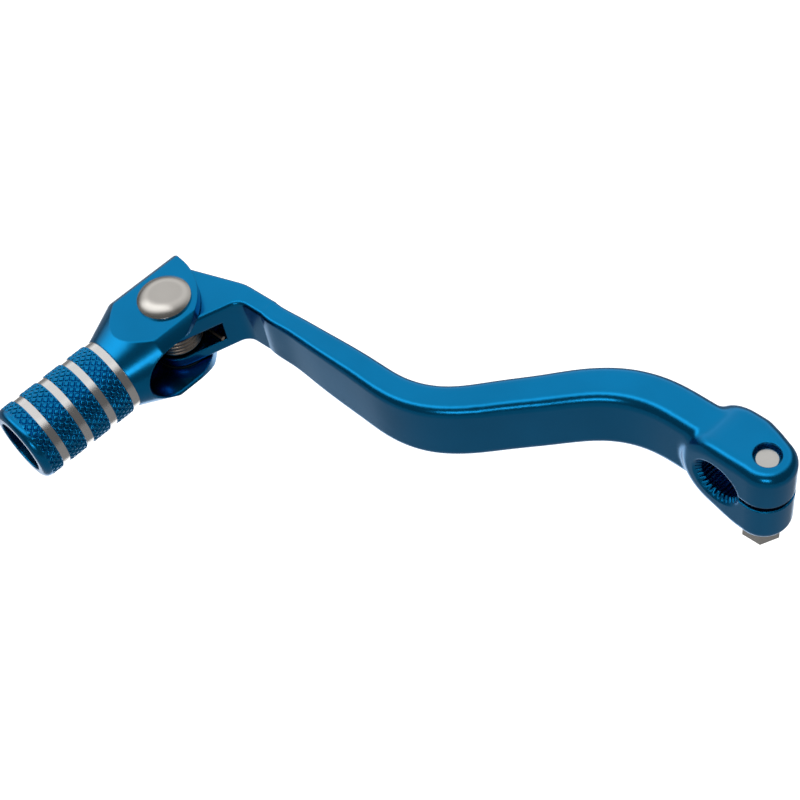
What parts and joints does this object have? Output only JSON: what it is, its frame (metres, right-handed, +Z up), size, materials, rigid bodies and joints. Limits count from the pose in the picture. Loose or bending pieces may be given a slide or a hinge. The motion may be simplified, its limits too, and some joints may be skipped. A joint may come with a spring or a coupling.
{
  "type": "motorcycle gear shift lever",
  "caption": "Cranked motorcycle gear shift lever with a splined clamp hub, pinch bolt and spring-loaded folding knurled toe peg.",
  "frame": {"origin": "on the axis of the splined bore, level along that axis with the pinch bolt", "axes": "+X forward from the shift shaft to the toe peg, +Y outboard along the shift shaft and the toe peg, +Z up along the folding pivot"},
  "size_m": [0.149, 0.1136, 0.0315],
  "materials": {
    "anodised_arm": "blue anodised, satin gloss",
    "anodised_peg": "blue anodised, with bare turned rings and knurled bands",
    "zinc_steel": "zinc plated",
    "bright_steel": "fine turned, nickel bright",
    "bronze": "plain sintered",
    "washer_plastic": "matt black",
    "spring_steel": "drawn wire, lightly oiled"
  },
  "bodies": {
    "arm": {"lever_arm": "anodised_arm", "pinch_bolt": "zinc_steel", "pivot_bush": "bronze", "thrust_washer_upper": "washer_plastic", "thrust_washer_lower": "washer_plastic", "torsion_spring": "spring_steel"},
    "toe": {"toe_peg": "anodised_peg", "pivot_pin": "bright_steel", "pivot_screw": "bright_steel"}
  },
  "joints": [
    {"name": "toe_fold", "type": "hinge", "parent": "arm", "child": "toe", "pos_m": [0.121, 0.0595, 0], "axis": [0, 0, 1], "range_deg": [0, 85], "stiffness_Nm_per_rad": 0.1, "springref_deg": -60.16, "deforming": ["torsion_spring"]}
  ]
}
